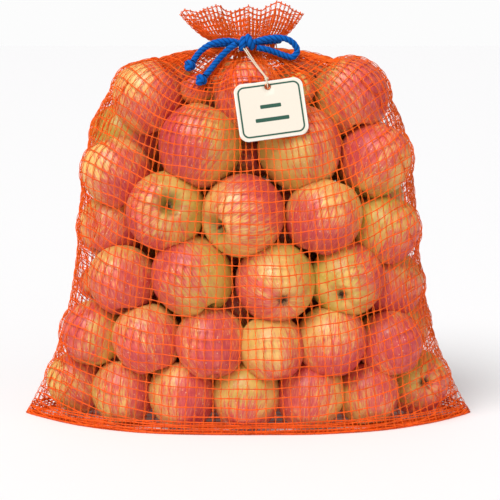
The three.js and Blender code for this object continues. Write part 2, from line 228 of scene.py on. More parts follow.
def skinMaterial():
    material, tree, shader = newMaterial("appleSkin", 0.46)
    around = attribute(tree, "around")
    look = put(tree, "SeparateXYZ", {0: attribute(tree, "look")}).outputs
    blush, ground, seed = look["X"], look["Y"], look["Z"]
    polar = put(tree, "SeparateXYZ", {0: around}).outputs["Z"]
    offset = put(tree, "CombineXYZ", {"X": seed, "Y": maths(tree, "MULTIPLY", seed, 3.7), "Z": seed})

    def placed(stretch):
        # where the noise is read on the skin, apart for each apple
        return vectorMaths(tree, "ADD", vectorMaths(tree, "MULTIPLY", around, stretch), offset.outputs[0])

    def swing(value, amount):
        # noise as so much more or less
        return maths(tree, "MULTIPLY", maths(tree, "SUBTRACT", value, 0.5), amount)

    streak = noise(tree, placed((13.0, 13.0, 3.6)), 1.0, 4.0, 0.68)
    fine = noise(tree, placed((34.0, 34.0, 14.0)), 1.0, 3.0, 0.66)
    patch = noise(tree, placed((1.6, 1.6, 3.4)), 1.0, 2.0, 0.5)
    amount = maths(tree, "ADD", blush, maths(tree, "ADD", swing(streak, 1.1), swing(patch, 1.2)))
    amount = maths(tree, "ADD", amount, swing(fine, 2.1))
    blushMask = ramp(tree, amount, 0.34, 0.82, 0.0, 0.94)
    deepMask = ramp(tree, amount, 0.74, 1.3, 0.0, 0.8)
    groundShare = maths(tree, "ADD", ground, swing(patch, 1.3))
    colour = mixColours(tree, ramp(tree, groundShare, 0.1, 0.9), skinLook["cream"], skinLook["yellowGreen"])
    red = mixColours(tree, deepMask, skinLook["pink"], skinLook["deepPink"])
    colour = mixColours(tree, blushMask, colour, red)
    place = put(tree, "TexCoord").outputs["Object"]
    dots = put(tree, "TexVoronoi", {"Vector": place, "Scale": 210.0}, feature="F1").outputs["Distance"]
    dotMask = maths(tree, "MULTIPLY", ramp(tree, dots, 0.10, 0.17, 0.55, 0.0), ramp(tree, polar, 0.2, 0.4))
    colour = mixColours(tree, dotMask, colour, skinLook["dots"])
    nearStem = maths(tree, "ADD", polar, swing(streak, 0.12))
    # greenish cavity colour round the stem, darker here as painted shade in the hollow
    colour = mixColours(tree, ramp(tree, nearStem, 0.03, 0.15, 0.9, 0.0), colour, skinLook["cavity"])
    # painted shade at the bottom of the stem cavity
    colour = mixColours(tree, ramp(tree, polar, 0.0, 0.055, 0.95, 0.0), colour, skinLook["cavityShade"])
    colour = mixColours(tree, ramp(tree, nearStem, 0.93, 0.99), colour, skinLook["calyx"])
    colour = uneven(tree, colour, place, 60.0, 0.10)[0]
    tree.links.new(colour, shader.inputs["Base Color"])
    tree.links.new(ramp(tree, patch, 0.2, 0.8, 0.33, 0.46), shader.inputs["Roughness"])
    shader.inputs["Specular IOR Level"].default_value = 0.5
    bumpInto(tree, shader, fine, 0.0002, 0.4)
    return material


# the warp is the tape's orange made lighter, a painted highlight for light through and off the thin strands
netLook = {"tape": tone(240, 88, 6), "warp": tone(246, 106, 24), "roughness": 0.5, "glow": 0.07}


def netMaterial(name, colour):
    # knitted plastic tape, each strand a little lighter or darker than the next
    material, tree, shader = newMaterial(name, netLook["roughness"])
    shade = attribute(tree, "shade", "Fac")
    place = put(tree, "TexCoord").outputs["Object"]
    body, height = uneven(tree, colour, place, 90.0, 0.22)
    darker = vectorMaths(tree, "SCALE", body)
    tree.links.new(shade, darker.node.inputs["Scale"])
    tree.links.new(darker, shader.inputs["Base Color"])
    shader.inputs["Specular IOR Level"].default_value = 0.25
    # painted glow: emission that stands in for light coming through the thin plastic
    tree.links.new(darker, shader.inputs["Emission Color"])
    shader.inputs["Emission Strength"].default_value = netLook["glow"]
    bumpInto(tree, shader, height, 0.0001, 0.5)
    return material


# the valley colour is painted shade, the rope's blue darkened where its strands meet
ropeLook = {"blue": tone(0, 98, 188), "valley": tone(0, 46, 112), "roughness": 0.8}


def fibreMaterial(name, colour, valley, roughness, sheen):
    # laid fibres: fine streaks along each strand, with painted shade where strands meet
    material, tree, shader = newMaterial(name, roughness)
    fibre = attribute(tree, "fibre")
    crown = attribute(tree, "crown", "Fac")
    stretched = vectorMaths(tree, "MULTIPLY", fibre, (3.2, 0.35, 1.0))
    body, height = uneven(tree, colour, stretched, 1.6, 0.26)
    # painted shade in the valleys between the strands
    body = mixColours(tree, ramp(tree, crown, 0.0, 0.55, 0.85, 0.0), body, valley)
    tree.links.new(body, shader.inputs["Base Color"])
    shader.inputs["Specular IOR Level"].default_value = 0.15
    shader.inputs["Sheen Weight"].default_value = sheen
    shader.inputs["Sheen Roughness"].default_value = 0.4
    bumpInto(tree, shader, height, 0.0004, 0.7)
    return material


def stemMaterial():
    material, tree, shader = newMaterial("appleStem", 0.75)
    place = put(tree, "TexCoord").outputs["Object"]
    body, height = uneven(tree, tone(104, 74, 42), place, 420.0, 0.4)
    tree.links.new(body, shader.inputs["Base Color"])
    bumpInto(tree, shader, height, 0.0003)
    return material


appleSkin = skinMaterial()
appleStem = stemMaterial()
tapeNet = netMaterial("netTape", netLook["tape"])
warpNet = netMaterial("netWarp", netLook["warp"])
blueRope = fibreMaterial("blueRope", ropeLook["blue"], ropeLook["valley"], ropeLook["roughness"], 0.04)
# the twine's second colour is painted shade where its strands meet
creamTwine = fibreMaterial("creamTwine", tone(238, 222, 196), tone(170, 140, 104), 0.8, 0.2)
print("materials ready")


# Pieces

def addPiece(name, vertices, faces, material, stands, points=None):
    mesh = bpy.data.meshes.new(name)
    mesh.from_pydata(np.asarray(vertices, float).reshape(-1, 3) * toMetres, [], faces)
    for key, values in (points or {}).items():
        values = np.asarray(values, np.float32)
        flat = values.ndim == 1
        layer = mesh.attributes.new(key, "FLOAT" if flat else "FLOAT_VECTOR", "POINT")
        layer.data.foreach_set("value" if flat else "vector", values.ravel())
    mesh.update()
    mesh.shade_smooth()
    mesh.materials.append(material)
    piece = bpy.data.objects.new(name, mesh)
    scene.collection.objects.link(piece)
    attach(piece, "root")
    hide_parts(*stands)
    return piece


def unit(vectors):
    return vectors / np.maximum(np.linalg.norm(vectors, axis=-1, keepdims=True), 1e-9)


def gridFaces(count, points, sides, closed):
    # faces of count tubes with so many points along and sides round
    index = np.arange(count * points * sides).reshape(count, points, sides)
    ahead = np.roll(index, -1, axis=1) if closed else index[:, 1:]
    here = index if closed else index[:, :-1]
    corners = [here, ahead, np.roll(ahead, -1, axis=2), np.roll(here, -1, axis=2)]
    return np.stack(corners, axis=-1).reshape(-1, 4)


def sweep(lines, normals, width, thickness, sides, closed=False):
    # flat or round strands along many lines at once
    if closed:
        along = np.roll(lines, -1, axis=1) - np.roll(lines, 1, axis=1)
    else:
        along = np.gradient(lines, axis=1)
    across = unit(np.cross(along, normals))
    up = unit(np.cross(across, along))
    angles = 2 * np.pi * (np.arange(sides) + 0.5) / sides
    width = np.broadcast_to(np.asarray(width, float), lines.shape[:2])[..., None, None]
    thickness = np.broadcast_to(np.asarray(thickness, float), lines.shape[:2])[..., None, None]
    ring = across[:, :, None] * np.cos(angles)[:, None] * width / 2
    ring = ring + up[:, :, None] * np.sin(angles)[:, None] * thickness / 2
    count, points = lines.shape[:2]
    return lines[:, :, None] + ring, gridFaces(count, points, sides, closed)


def curvePoints(controls, shares):
    # a centripetal Catmull-Rom curve, as in the CAD
    p = np.array(controls, float)
    p = np.vstack([2 * p[0] - p[1], p, 2 * p[-1] - p[-2]])
    spans = len(p) - 3
    at = np.clip(np.asarray(shares, float), 0, 1) * spans
    k = np.minimum(at.astype(int), spans - 1)
    t = (at - k)[:, None]
    a, b, c, d = p[k], p[k + 1], p[k + 2], p[k + 3]
    gaps = [np.sqrt(np.linalg.norm(v - u, axis=1))[:, None] for u, v in ((a, b), (b, c), (c, d))]
    first, middle, last = gaps
    start = ((b - a) / first - (c - a) / (first + middle) + (c - b) / middle) * middle
    end = ((c - b) / middle - (d - b) / (middle + last) + (d - c) / last) * middle
    return b + start * t + (3 * (c - b) - 2 * start - end) * t**2 + (2 * (b - c) + start + end) * t**3


def lengthsAlong(line):
    return np.concatenate([[0], np.cumsum(np.linalg.norm(np.diff(line, axis=0), axis=1))])


def spacedPoints(controls, count):
    shares = np.linspace(0, 1, 201)
    lengths = lengthsAlong(curvePoints(controls, shares))
    return curvePoints(controls, np.interp(np.linspace(0, lengths[-1], count), lengths, shares))


def smoothStep(value, low, high):
    t = np.clip((value - low) / (high - low), 0, 1)
    return t * t * (3 - 2 * t)


def sequence(seed):
    state = seed
    while True:
        state = state * 16807 % 2147483647
        yield state / 2147483647


# Rope, string and their knots. Routes are those of the CAD, from the bow knot outwards.

rope = {
    "diameter": 6.2, "strands": 3, "lay": 14.5, "valley": 0.19, "section": 24, "step": 0.8,
    "bow": [
        (8, -29, 374.6), (17.5, -28.5, 377), (27.8, -28, 378.1), (37.9, -26.5, 376.5), (45, -25, 371.3),
        (47.3, -24.5, 365), (42.9, -26, 359.8), (35.4, -25.6, 361), (26.2, -26.5, 364.3),
        (17, -28.5, 367.2), (8.3, -29, 368.9),
    ],
    "upperTail": [
        (-10.2, -26.5, 374), (-19.5, -27, 375), (-28.6, -27, 374.1), (-37, -26.6, 371.2),
        (-44.1, -25.6, 366.4), (-49, -26.6, 361.1), (-52.6, -30.7, 355.2),
    ],
    "lowerTail": [
        (-11.1, -33.2, 372.3), (-17.8, -32.5, 367.8), (-23.5, -31.4, 362.3), (-29.2, -32.4, 356.3),
        (-34.6, -37.4, 349.5), (-40.8, -43.4, 342),
    ],
    "turnMiddle": (-3.4, 0, 373.2), "turnHalfWidth": 33.8, "turnHalfDepth": 19.8, "turnTilt": 0.06,
}


def framesAlong(line):
    # two directions square to the line, carried along it without twist
    along = unit(np.gradient(line, axis=0))
    first = np.cross(along[0], (0, 0, 1.0))
    if np.linalg.norm(first) < 0.2:
        first = np.cross(along[0], (1.0, 0, 0))
    sides = [unit(first)]
    for direction in along[1:]:
        side = sides[-1] - direction * (sides[-1] @ direction)
        sides.append(unit(side))
    sides = np.array(sides)
    return sides, np.cross(along, sides)


def laidRope(line, diameter, strands, lay, valley, section, taper=None):
    # strands laid round each other; returns vertices, faces and the fibre attributes
    sides, ups = framesAlong(line)
    at = lengthsAlong(line)
    angles = 2 * np.pi * np.arange(section) / section
    turn = 2 * np.pi * at[:, None] / lay
    local = (angles[None, :] - turn) * strands / (2 * np.pi)
    fromCrown = np.abs((local % 1.0) * 2 - 1)
    radius = diameter / 2 * (1 - valley * fromCrown**2.2)
    if taper is not None:
        radius = radius * taper[:, None]
    ring = sides[:, None] * np.cos(angles)[None, :, None] + ups[:, None] * np.sin(angles)[None, :, None]
    vertices = line[:, None] + ring * radius[..., None]
    faces = gridFaces(1, len(line), section, False)
    strandAngle = (angles[None, :] - turn) * diameter / 2
    fibre = np.stack([strandAngle, np.broadcast_to(at[:, None], radius.shape), radius * 0], axis=-1)
    count = len(line) * section
    faces = faces.tolist() + [list(range(section - 1, -1, -1)), list(range(count - section, count))]
    return vertices.reshape(-1, 3), faces, {"fibre": fibre.reshape(-1, 3), "crown": (1 - fromCrown).ravel()}


def laidBlue(line, diameter=None, taper=None):
    return laidRope(
        line, diameter or rope["diameter"], rope["strands"], rope["lay"], rope["valley"],
        rope["section"], taper,
    )


def joined(parts):
    # several (vertices, faces, attributes) as one
    vertices, faces, points, start = [], [], {}, 0
    for place, polygons, attributes in parts:
        place = np.asarray(place).reshape(-1, 3)
        vertices.append(place)
        faces.extend([[i + start for i in polygon] for polygon in polygons])
        for key, values in attributes.items():
            points.setdefault(key, []).append(values)
        start += len(place)
    return np.vstack(vertices), faces, {key: np.concatenate(values) for key, values in points.items()}


def ropeLine(controls, step):
    length = lengthsAlong(curvePoints(controls, np.linspace(0, 1, 201)))[-1]
    return spacedPoints(controls, max(12, int(length / step))), length


def addRope(name, controls, node):
    line, length = ropeLine(controls, rope["step"])
    laid = laidBlue(line)
    piece = addPiece(name, laid[0], laid[1], blueRope, [node], laid[2])
    print(name, "is", round(length, 1), "mm long")


def ovalRing(middle, firstAxis, secondAxis, count=44, overlap=0.0):
    angles = np.linspace(0, 2 * np.pi * (1 + overlap), count)
    return (np.array(middle) + np.outer(np.cos(angles), firstAxis) + np.outer(np.sin(angles), secondAxis))


def wrap(middle, firstAxis, secondAxis, diameter, sway=None):
    # one turn of rope round something
    line = ovalRing(middle, firstAxis, secondAxis, overlap=0.04)
    if sway is not None:
        line = line + np.outer(np.linspace(-0.5, 0.5, len(line)), sway)
    return laidBlue(line, diameter)


knots = {
    "left": {
        "middle": (-5.1, -29.3, 372.3), "lean": 14, "half": (4.5, 3.1), "rope": 6.3, "sway": (1.6, 0, 0),
    },
    "right": {
        "middle": (1.9, -29.3, 374.0), "lean": -16, "half": (4.7, 3.1), "rope": 6.9, "sway": (2.4, 0, 0),
    },
    "core": ((-9.2, -28.6, 372.6), (7.2, -28.6, 373.2)), "coreRope": 7.6,
    "upperEnd": {"middle": (-55.4, -34.4, 352.1), "from": (-49, -26.6, 361.1), "stub": 6.4},
    "lowerEnd": {"middle": (-44.2, -46.7, 338.8), "from": (-34.6, -37.4, 349.5), "stub": 6.6},
    "endTurn": 3.0, "endRope": 5.9, "stubRope": 7.4,
}


def addBowKnot():
    parts = []
    for side in ("left", "right"):
        spec = knots[side]
        lean = math.radians(spec["lean"])
        upright = np.array((math.sin(lean), 0, math.cos(lean))) * spec["half"][0]
        inward = np.array((0, 1.0, 0)) * spec["half"][1]
        parts.append(wrap(spec["middle"], inward, upright, spec["rope"], spec["sway"]))
    parts.append(laidBlue(np.linspace(*knots["core"], 20), knots["coreRope"]))
    whole = joined(parts)
    addPiece("bowKnot", whole[0], whole[1], blueRope, ["bow_knot"], whole[2])


def addEndKnot(name, spec, node):
    middle = np.array(spec["middle"])
    along = unit(middle - np.array(spec["from"]))
    side = unit(np.cross(along, (0, 0, 1.0)))
    up = np.cross(side, along)
    tilt = unit(up + 0.22 * along)
    reach = knots["endTurn"]
    turn = wrap(middle - along * 0.4, side * reach, tilt * reach, knots["endRope"], along * 2.2)
    shares = np.linspace(-0.5, 1, 16)
    stubLine = np.array([middle + along * t * spec["stub"] - up * t * t * 1.2 for t in shares])
    rounded = np.sqrt(np.clip(1 - np.clip((shares - 0.62) / 0.4, 0, 1) ** 2, 0.03, 1))
    whole = joined([turn, laidBlue(stubLine, knots["stubRope"], rounded)])
    return addPiece(name, whole[0], whole[1], blueRope, [node], whole[2])


addRope("bowLoop", rope["bow"], "bow_loop")
upperEnd = addEndKnot("upperTailKnot", knots["upperEnd"], "upper_tail_knot")
lowerEnd = addEndKnot("lowerTailKnot", knots["lowerEnd"], "lower_tail_knot")
addRope("upperTail", rope["upperTail"], "upper_tail")
addRope("lowerTail", rope["lowerTail"], "lower_tail")
addBowKnot()
turnAcross = (rope["turnHalfWidth"], 0, rope["turnHalfWidth"] * rope["turnTilt"])
turnRope = laidBlue(ovalRing(rope["turnMiddle"], turnAcross, (0, rope["turnHalfDepth"], 0), 220))
addPiece("neckTurn", turnRope[0], turnRope[1], blueRope, ["neck_turn"], turnRope[2])


# The card, its eyelet and its string, in the card's own axes: x right, out of the face, up from the hole

tag = {
    "width": 65, "height": 55, "thickness": 1.5, "cornerRadius": 8,
    "hole": (18.4, -67.2, 333), "holeRadius": 2.7, "holeBelowEdge": 5.6, "holeFromLeft": 32.2,
    "roll": 8, "lean": 15.5, "rays": 120,
    "lineInset": 3.9, "lineWidth": 1.6, "lineRadius": 5.6,
    "paper": tone(230, 220, 204), "rim": tone(240, 235, 226), "ink": tone(22, 78, 60),
}
eyelet = {"outerRadius": 3.1, "innerRadius": 1.7, "reach": 1.25, "metal": tone(186, 104, 62)}
string = {
    "diameter": 1.3, "spread": 2.2, "start": (-3, -35.6, 368), "knotAboveHole": 8, "sag": 0.8,
    "lay": 3.4,
}
tagPlace = (
    Matrix.Translation(tag["hole"])
    @ Matrix.Rotation(math.radians(-tag["lean"]), 4, "X")
    @ Matrix.Rotation(math.radians(-tag["roll"]), 4, "Y")
)


def onTag(x, out, up):
    return np.array(tagPlace @ Vector((x, -out, up)))


def stringControls():
    apart = string["spread"] / 2
    knotUp = string["knotAboveHole"]

    def leg(side):
        top = np.array(string["start"], float) + (side * apart, 0, 0)
        bottom = onTag(side * apart * 0.5, -side * 1.2, knotUp)
        halfway = (top + bottom) / 2
        halfway[2] -= string["sag"]
        return [top, halfway, bottom]

    loop = [
        (-0.55 * apart, 1.7, knotUp - 1.6), (0, 2.35, 4.6), (0, 2.3, 2.2), (0, 1.6, 0.2), (0, 0, -0.7),
        (0, -1.6, 0.2), (0, -2.3, 2.2), (0, -2.35, 4.6), (0.55 * apart, -1.7, knotUp - 1.6),
    ]
    return leg(-1) + [onTag(*p) for p in loop] + leg(1)[::-1]


def addString(hung):
    line, length = ropeLine(stringControls(), 0.55)
    laid = laidRope(line, string["diameter"], 2, string["lay"], 0.3, 12)
    piece = addPiece("tagString", laid[0], laid[1], creamTwine, ["tag_string"], laid[2])
    middle = onTag(0, 0, string["knotAboveHole"])
    across = onTag(1, 0, string["knotAboveHole"]) - middle
    out = onTag(0, 1, string["knotAboveHole"]) - middle
    up = onTag(0, 0, string["knotAboveHole"] + 1) - middle
    turns = []
    for rise, lean in ((-0.7, 0.25), (0.6, -0.3)):
        first = across * 1.45 + up * lean
        turn = ovalRing(middle + up * rise, first, out * 1.45, 40, 0.05)
        turns.append(laidRope(turn, string["diameter"], 2, string["lay"], 0.3, 12))
    whole = joined(turns)
    knot = addPiece("stringKnot", whole[0], whole[1], creamTwine, ["tag_string"], whole[2])
    print("tag string is", round(length, 1), "mm long")


def toCardEdge(angles):
    # how far the card's edge is from the hole in each direction
    left, right = -tag["holeFromLeft"], tag["width"] - tag["holeFromLeft"]
    top, bottom = tag["holeBelowEdge"], tag["holeBelowEdge"] - tag["height"]
    middle = np.array(((left + right) / 2, (top + bottom) / 2))
    half = np.array((tag["width"], tag["height"])) / 2 - tag["cornerRadius"]
    direction = np.stack([np.cos(angles), np.sin(angles)], axis=1)
    low, high = np.zeros(len(angles)), np.full(len(angles), 90.0)
    for _ in range(40):
        reach = (low + high) / 2
        beyond = np.abs(direction * reach[:, None] - middle) - half
        outside = np.linalg.norm(np.maximum(beyond, 0), axis=1) + np.minimum(beyond.max(axis=1), 0)
        inside = outside < tag["cornerRadius"]
        low, high = np.where(inside, reach, low), np.where(inside, high, reach)
    return low, middle


def cardMaterial():
    material, tree, shader = newMaterial("tagCard", 0.55)
    place = attribute(tree, "card")
    parts = put(tree, "SeparateXYZ", {0: place}).outputs
    inset = tag["lineInset"] + tag["lineRadius"]
    half = (tag["width"] / 2 - inset, tag["height"] / 2 - inset)

    def box(x, y, halfWidth, halfHeight):
        # distance to a box's edge, below zero inside
        besideX = maths(tree, "SUBTRACT", maths(tree, "ABSOLUTE", x), halfWidth)
        besideY = maths(tree, "SUBTRACT", maths(tree, "ABSOLUTE", y), halfHeight)
        outer = put(tree, "CombineXYZ", {
            "X": maths(tree, "MAXIMUM", besideX, 0.0), "Y": maths(tree, "MAXIMUM", besideY, 0.0)})
        inner = maths(tree, "MINIMUM", maths(tree, "MAXIMUM", besideX, besideY), 0.0)
        return maths(tree, "ADD", vectorMaths(tree, "LENGTH", outer.outputs[0]), inner)

    besideLine = maths(tree, "SUBTRACT", box(parts["X"], parts["Y"], *half), tag["lineRadius"])
    fromLine = maths(tree, "ABSOLUTE", besideLine)
    ink = ramp(tree, fromLine, tag["lineWidth"] / 2 - 0.12, tag["lineWidth"] / 2 + 0.12, 1.0, 0.0)
    # two plain bars in place of words
    for height, reach in ((3.5, 9.0), (-9.0, 15.0)):
        lower = maths(tree, "SUBTRACT", parts["Y"], height)
        rule = ramp(tree, box(parts["X"], lower, reach, 1.0), 0.7, 0.95, 1.0, 0.0)
        ink = maths(tree, "MAXIMUM", ink, rule)
    front = ramp(tree, parts["Z"], 0.2, 0.4)
    ink = maths(tree, "MULTIPLY", ink, front)
    fromEdge = box(parts["X"], parts["Y"], tag["width"] / 2, tag["height"] / 2)
    paper = mixColours(tree, ramp(tree, fromEdge, -2.2, -0.6), tag["paper"], tag["rim"])
    paper, height = uneven(tree, paper, place, 0.9, 0.02)
    tree.links.new(mixColours(tree, ink, paper, tag["ink"]), shader.inputs["Base Color"])
    bumpInto(tree, shader, height, 0.0001, 0.25)
    return material


def addCard():
    angles = 2 * np.pi * np.arange(tag["rays"]) / tag["rays"]
    corner = []
    left, right = -tag["holeFromLeft"], tag["width"] - tag["holeFromLeft"]
    top, bottom = tag["holeBelowEdge"], tag["holeBelowEdge"] - tag["height"]
    radius = tag["cornerRadius"]
    for x, z in (
        (left, top - radius), (left + radius, top), (right - radius, top), (right, top - radius),
        (right, bottom + radius), (right - radius, bottom), (left + radius, bottom), (left, bottom + radius),
    ):
        corner.append(math.atan2(z, x) % (2 * math.pi))
    angles = np.unique(np.concatenate([angles, corner]))
    edge, middle = toCardEdge(angles)
    half = tag["thickness"] / 2
    hole = tag["holeRadius"]
    rings = [(share, 0.0, half) for share in np.linspace(0, 0.97, 8)]
    profile = [(s, inset, out) for s, inset, out in rings]
    profile += [(1, 0.45, half), (1, 0.12, half - 0.3), (1, 0, 0), (1, 0.12, -half + 0.3), (1, 0.45, -half)]
    profile += [(s, inset, -out) for s, inset, out in rings[::-1]]
    vertices, card = [], []
    for share, inset, out in profile:
        reach = hole + (edge - inset - hole) * share
        for angle, distance in zip(angles, reach):
            x, z = math.cos(angle) * distance, math.sin(angle) * distance
            curl = -0.00035 * (z - top) ** 2 + 0.0004 * x * x - 0.2
            vertices.append(onTag(x, out + curl, z))
            card.append((x - middle[0], z - middle[1], 1.0 if out > half - 0.1 else 0.0))
    count = len(angles)
    faces = gridFaces(1, len(profile), count, True).tolist()
    return addPiece("tagCard", vertices, faces, cardMaterial(), ["tag_card"], {"card": card})


def addEyelet():
    material, tree, shader = newMaterial("copper", 0.3)
    place = put(tree, "TexCoord").outputs["Object"]
    body, height = uneven(tree, eyelet["metal"], place, 900.0, 0.16)
    tree.links.new(body, shader.inputs["Base Color"])
    shader.inputs["Metallic"].default_value = 0.9
    bumpInto(tree, shader, height, 0.0001, 0.3)
    inner, outer, reach = eyelet["innerRadius"], eyelet["outerRadius"], eyelet["reach"]
    half = tag["thickness"] / 2 + 0.12
    rim = [
        (outer, half), (outer - 0.25, half + 0.35), ((inner + outer) / 2, reach),
        (inner + 0.3, half + 0.3), (inner, half),
    ]
    behind = [(inner, -half)] + [(r, -out) for r, out in rim[::-1]][1:]
    profile = rim + behind + [(outer - 0.5, -half + 0.1), (outer - 0.5, half - 0.1)]
    count = 40
    angles = 2 * np.pi * np.arange(count) / count
    vertices = [onTag(r * math.cos(a), out - 0.2, r * math.sin(a)) for r, out in profile for a in angles]
    faces = gridFaces(1, len(profile), count, True)[:, ::-1].tolist()
    return addPiece("tagEyelet", vertices, faces, material, ["tag_eyelet"])


addString([addCard(), addEyelet()])
print("rope, string and tag ready")


# The apples, laid out and settled by the same rules as in the CAD

netOutline = [
    (226, 80, 0), (204, 92, 42), (185, 98, 91), (172, 98, 157), (164, 92, 237),
    (150, 76, 301), (129, 58, 332), (98, 42, 352), (67, 28, 363.2), (30, 16, 367.5),
]
net = {
    "columns": 88, "rows": 36, "passes": 240, "pull": 0.62, "clearance": 1.5, "halfLayer": 1.8,
    "neckShift": -3.4, "shoulderStay": 0.3, "shoulderReach": 5,
}
# Rows that lean on the front, from the floor up. Each apple: x, z, width, where its blush
# faces, how strong that is, how green its ground is, and its stem's direction if an end shows.
frontRows = [
    [
        (-170, 33, 66, (0.8, -0.3, 0.4), 0.52, 0.55), (-122, 32, 66, (0.6, -0.5, 0.4), 0.46, 0.5),
        (-65, 33, 69, (0.85, -0.4, -0.1), 0.6, 0.35), (1, 33, 69, (0.1, -0.3, -0.9), 0.4, 0.5),
        (64, 33, 69, (-0.5, -0.6, 0.3), 0.52, 0.4), (116, 33, 64, (0.3, -0.6, 0.5), 0.5, 0.5),
        (166, 38, 68, (0.7, -0.3, -0.6), 0.5, 0.75, (-0.15, 0.9, -0.2)),
    ],
    [
        (-150, 90, 66, (-0.8, -0.5, 0.2), 0.52, 0.6), (-98, 88, 70, (0.1, -0.8, -0.5), 0.5, 0.3),
        (-32, 88, 71, (0.1, -0.9, -0.1), 0.6, 0.2), (22, 84, 66, (0.8, -0.2, -0.5), 0.45, 0.4),
        (76, 88, 71, (0.7, -0.5, -0.5), 0.56, 0.3), (132, 80, 68, (0.3, -0.8, 0.1), 0.64, 0.4),
    ],
    [
        (-124, 151, 69, (0.15, -0.7, -0.6), 0.54, 0.3), (-56, 154, 81, (-0.9, -0.3, 0.3), 0.52, 0.7),
        (32, 143, 79, (-0.8, -0.2, -0.6), 0.5, 0.45, (-0.2, 0.92, 0.33)),
        (108, 144, 75, (0.9, 0.1, 0.4), 0.44, 0.6, (0.2, 0.92, 0.3)),
        (151, 126, 68, (0, -0.6, -0.8), 0.58, 0.4),
    ],
    [
        (-137, 196, 67, (0.3, -0.6, -0.7), 0.52, 0.3),
        (-84, 216, 79, (-0.9, -0.2, -0.5), 0.54, 0.6, (0.17, -0.93, 0.33)),
        (-4, 208, 82, (0.8, -0.3, 0.6), 0.56, 0.35, (-0.7, -0.65, -0.27)),
        (77, 205, 77, (-0.2, -0.7, -0.6), 0.54, 0.45), (136, 190, 70, (0.6, -0.3, -0.6), 0.42, 0.6),
    ],
    [
        (-115, 256, 70, (0.6, -0.6, -0.3), 0.5, 0.3), (-40, 280, 82, (-0.8, -0.6, 0.1), 0.6, 0.7),
        (48, 270, 83, (0.9, 0.1, 0.5), 0.5, 0.5), (122, 262, 75, (-0.5, -0.5, 0.6), 0.52, 0.5),
    ],
    [
        (-84, 316, 74, (0.7, -0.6, -0.3), 0.5, 0.2), (-8, 324, 70, (0.1, -0.9, 0.2), 0.52, 0.4),
        (93, 319, 77, (0.8, -0.6, 0.1), 0.54, 0.5),
    ],
]
# Rows that lean on the back: z, how many, width, reach
backRows = [
    (34, 5, 70, 128), (92, 5, 74, 122), (150, 4, 76, 116),
    (208, 4, 76, 116), (258, 4, 72, 108), (312, 3, 70, 84),
]
apples = {
    "shareOfHeight": 0.88, "touching": 0.95, "ceiling": 320, "settlePasses": 60, "sway": 0.35, "homing": 0.07,
}
middleApples = {"step": 7, "smallest": 15, "largest": 37, "squeeze": 1.07, "fromNet": 6}

outlineTrace = curvePoints(netOutline, np.linspace(0, 1, 201))


def outlineAt(height):
    return outlineTrace[np.argmin(np.abs(outlineTrace[:, 2] - height))]


def depthAt(x, z):
    halfWidth, halfDepth, _ = outlineAt(z)
    across = min(1, abs(x) / min(halfWidth, 190))
    return halfDepth * math.sqrt(1 - across * across)


def layOutApples():
    random = sequence(97)
    found = []

    def add(tier, x, y, z, width, held, blush=None, strength=0.6, ground=0.4, axis=None):
        drawn = np.array((next(random) - 0.5, next(random) - 0.5, 0.4 + next(random)))
        if held and axis is None:
            # stems of these point away from the camera
            drawn[1] = 0.1 + 0.6 * abs(drawn[1])
        found.append({
            "tier": tier, "centre": np.array((x, y, z), float), "radius": width / 2, "held": held,
            "axis": unit(np.array(axis if axis is not None else drawn, float)),
            "blush": blush, "strength": strength, "ground": ground,
        })

    for tier, row in enumerate(frontRows):
        for x, z, width, blush, strength, ground, *axis in row:
            y = -max(0, depthAt(x, z) - width / 2 - 2)
            add(tier, x, y, z, width, True, blush, strength, ground, *axis)
    for tier, (z, count, width, reach) in enumerate(backRows):
        for i in range(count):
            x = -reach + 2 * reach * i / (count - 1) + 8 * (next(random) - 0.5)
            size = width + 8 * (next(random) - 0.5)
            y = max(0, depthAt(x, z) - size / 2 - 2)
            add(tier, x, y, z + 8 * (next(random) - 0.5), size, False)
    return found


def settleApples(found):
    flatter = math.sqrt(apples["shareOfHeight"])
    homes = [a["centre"].copy() for a in found]
    places = [list(a["centre"]) for a in found]
    gives = [apples["sway"] if a["held"] else 1 for a in found]
    for _ in range(apples["settlePasses"]):
        for i, a in enumerate(found):
            for j in range(i + 1, len(found)):
                p, q = places[i], places[j]
                dx, dy, dz = q[0] - p[0], q[1] - p[1], (q[2] - p[2]) / flatter
                apart = math.sqrt(dx * dx + dy * dy + dz * dz)
                over = apples["touching"] * (a["radius"] + found[j]["radius"]) - apart
                if over <= 0:
                    continue
                push = over / 2 / apart
                for place, give, sign in ((p, gives[i], -1), (q, gives[j], 1)):
                    place[0] += sign * dx * push * give
                    place[1] += sign * dy * push
                    place[2] += sign * dz * push * give
        for place, home, a in zip(places, homes, found):
            radius = a["radius"]
            if a["held"]:
                for k in range(3):
                    place[k] += (home[k] - place[k]) * apples["homing"]
            place[2] = min(max(place[2], radius * apples["shareOfHeight"]), apples["ceiling"])
            side = min(outlineAt(place[2])[0], 204) - radius
            place[0] = min(max(place[0], -side), side)
            room = max(0, depthAt(place[0], place[2]) - radius)
            place[1] = min(max(place[1], -room), room)
    for a, place in zip(found, places):
        a["centre"] = np.array(place)
    return found


